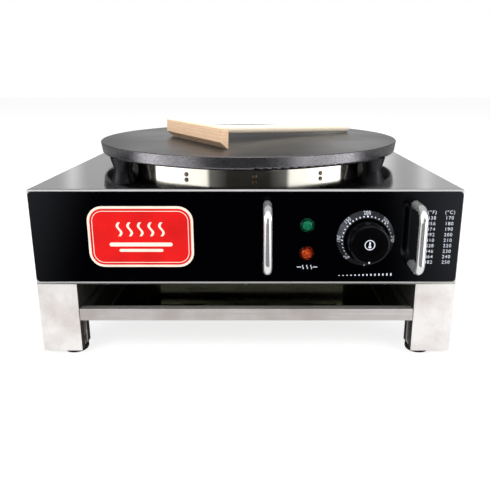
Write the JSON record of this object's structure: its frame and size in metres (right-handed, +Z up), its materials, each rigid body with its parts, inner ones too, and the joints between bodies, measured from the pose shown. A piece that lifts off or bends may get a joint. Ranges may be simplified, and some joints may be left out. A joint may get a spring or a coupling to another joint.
{
  "type": "electric crepe maker",
  "caption": "Countertop electric crepe maker: a round cast griddle on a steel housing with a thermostat knob, pilot lamps, bar handles, a pull-out tray and a loose wooden batter spreader.",
  "frame": {"origin": "on the floor under the middle of the whole machine", "axes": "+X to the right as seen by the cook, +Y from the control panel to the back, +Z up"},
  "size_m": [0.45, 0.5047, 0.2407],
  "materials": {
    "polished_steel": "mirror polished stainless steel",
    "brushed_steel": "fine brushed stainless steel",
    "inner_steel": "plain galvanised sheet",
    "zinc_screws": "bright zinc",
    "black_panel": "gloss black panel",
    "cast_plate": "satin non-stick coating on cast iron",
    "element_tube": "heat-darkened steel tube",
    "insulation_wool": "pressed ceramic wool",
    "black_moulding": "black moulding",
    "ceramic": "white ceramic",
    "copper_tube": "copper capillary tube",
    "spun_bezel": "spun dark metal",
    "lamp_rim": "gloss black rim",
    "green_lens": "green lens",
    "amber_lens": "amber lens",
    "chrome_bar": "bright chrome",
    "foot_rubber": "black rubber",
    "knob_plastic": "gloss black phenolic",
    "white_mark": "white paint",
    "shaft_steel": "turned steel",
    "beech_wood": "sanded beech"
  },
  "bodies": {
    "housing": {"back_panel": "polished_steel", "back_panel_screws": "zinc_screws", "bottom_cover": "polished_steel", "bottom_cover_screws": "zinc_screws", "cable_gland": "black_moulding", "clamp_stud": "inner_steel", "dial_bezel": "spun_bezel", "element_clamp": "inner_steel", "element_terminals": "element_tube", "foot_screws": "zinc_screws", "front_fascia": "black_panel", "gland_locknut": "black_moulding", "griddle_plate": "cast_plate", "handle_left": "chrome_bar", "handle_right": "chrome_bar", "handle_screws": "zinc_screws", "heat_reflector": "inner_steel", "heat_ring": "polished_steel", "heat_ring_screws": "zinc_screws", "heater_pan": "inner_steel", "heating_element_inner": "element_tube", "heating_element_outer": "element_tube", "high_limit_cutout": "black_moulding", "housing_shell": "polished_steel", "insulation_disc": "insulation_wool", "lamp_bezel_amber": "lamp_rim", "lamp_bezel_green": "lamp_rim", "lamp_body_amber": "black_moulding", "lamp_body_green": "black_moulding", "lamp_lens_amber": "amber_lens", "lamp_lens_green": "green_lens", "leg_bolts": "zinc_screws", "leg_front_left": "brushed_steel", "leg_front_right": "brushed_steel", "leg_rear_left": "brushed_steel", "leg_rear_right": "brushed_steel", "plate_foot_left": "cast_plate", "plate_foot_rear": "cast_plate", "plate_foot_right": "cast_plate", "plate_foot_screws": "zinc_screws", "rail_rivets": "zinc_screws", "rubber_foot_front_left": "foot_rubber", "rubber_foot_front_right": "foot_rubber", "rubber_foot_rear_left": "foot_rubber", "rubber_foot_rear_right": "foot_rubber", "sensor_clip": "inner_steel", "terminal_block": "ceramic", "thermostat_body": "black_moulding", "thermostat_sensor": "copper_tube", "tray_rail_left": "brushed_steel", "tray_rail_right": "brushed_steel"},
    "knob": {"thermostat_knob": "knob_plastic", "knob_cap": "knob_plastic", "knob_pointer": "white_mark", "thermostat_shaft": "shaft_steel"},
    "tray": {"tray_pan": "brushed_steel", "tray_front": "brushed_steel"},
    "spreader": {"spreader_head": "beech_wood", "spreader_dowel": "beech_wood"}
  },
  "joints": [
    {"name": "knob_turn", "type": "hinge", "parent": "housing", "child": "knob", "pos_m": [0.1249, -0.22885, 0.1351], "axis": [0, 1, 0], "range_deg": [0, 270]},
    {"name": "tray_slide", "type": "slide", "parent": "housing", "child": "tray", "axis": [0, -1, 0], "range_m": [0, 0.36]},
    {"name": "spreader_lift", "type": "slide", "parent": "housing", "child": "spreader", "axis": [0, 0, 1], "range_m": [0, 0.15]}
  ]
}
